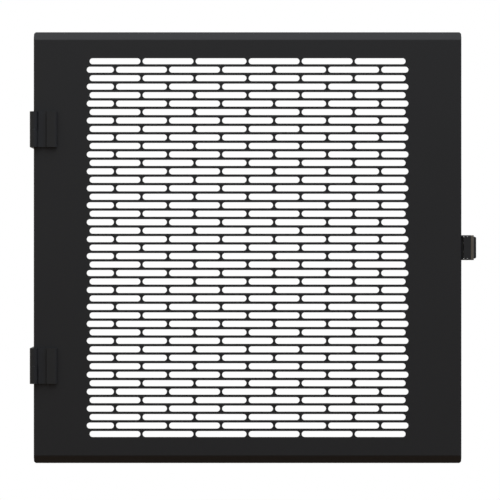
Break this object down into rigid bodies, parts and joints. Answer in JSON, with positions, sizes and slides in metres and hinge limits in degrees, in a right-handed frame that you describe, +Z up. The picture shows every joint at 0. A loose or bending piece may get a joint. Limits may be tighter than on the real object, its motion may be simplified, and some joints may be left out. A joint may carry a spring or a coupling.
{
  "type": "perforated rack door",
  "caption": "Folded steel rack door with staggered round-ended vent slots, two screw-on side hinges and a sprung lever latch.",
  "frame": {"origin": "on the outside of the rack's left side, in the middle of the hinge leaves' screw holes, halfway up the door", "axes": "+X from the hinge side to the latch side, +Y back into the rack, +Z up; the door is shut and its front faces -Y"},
  "size_m": [0.5264, 0.0659, 0.51],
  "materials": {
    "coated_sheet": "satin black powder coat",
    "coated_casting": "satin black powder coat on a die casting",
    "black_moulding": "satin black moulding",
    "zinc_plate": "bright zinc plate",
    "satin_strip": "satin stainless steel",
    "spring_wire": "drawn spring wire"
  },
  "bodies": {
    "frame_side": {"upper_hinge_frame_leaf": "coated_casting", "lower_hinge_frame_leaf": "coated_casting", "upper_hinge_pin": "zinc_plate", "lower_hinge_pin": "zinc_plate"},
    "door": {"door_panel": "coated_sheet", "upper_hinge_door_leaf": "coated_casting", "lower_hinge_door_leaf": "coated_casting", "upper_hinge_cap": "black_moulding", "lower_hinge_cap": "black_moulding", "upper_hinge_screws": "zinc_plate", "lower_hinge_screws": "zinc_plate", "upper_hinge_washers": "zinc_plate", "lower_hinge_washers": "zinc_plate", "upper_hinge_nuts": "zinc_plate", "lower_hinge_nuts": "zinc_plate", "latch_base": "coated_casting", "latch_pivot_pin": "zinc_plate", "latch_spring": "spring_wire", "latch_screws": "zinc_plate"},
    "lever": {"latch_lever": "coated_casting", "latch_grip_strip": "satin_strip"}
  },
  "joints": [
    {"name": "door_swing", "type": "hinge", "parent": "frame_side", "child": "door", "pos_m": [0.00275, -0.04415, 0], "axis": [0, 0, -1], "range_deg": [0, 180]},
    {"name": "latch_pull", "type": "hinge", "parent": "door", "child": "lever", "pos_m": [0.5125, -0.032, 0], "axis": [0, 0, -1], "range_deg": [0, 20], "stiffness_Nm_per_rad": 0.2, "springref_deg": -11.46, "deforming": ["latch_spring"]}
  ]
}
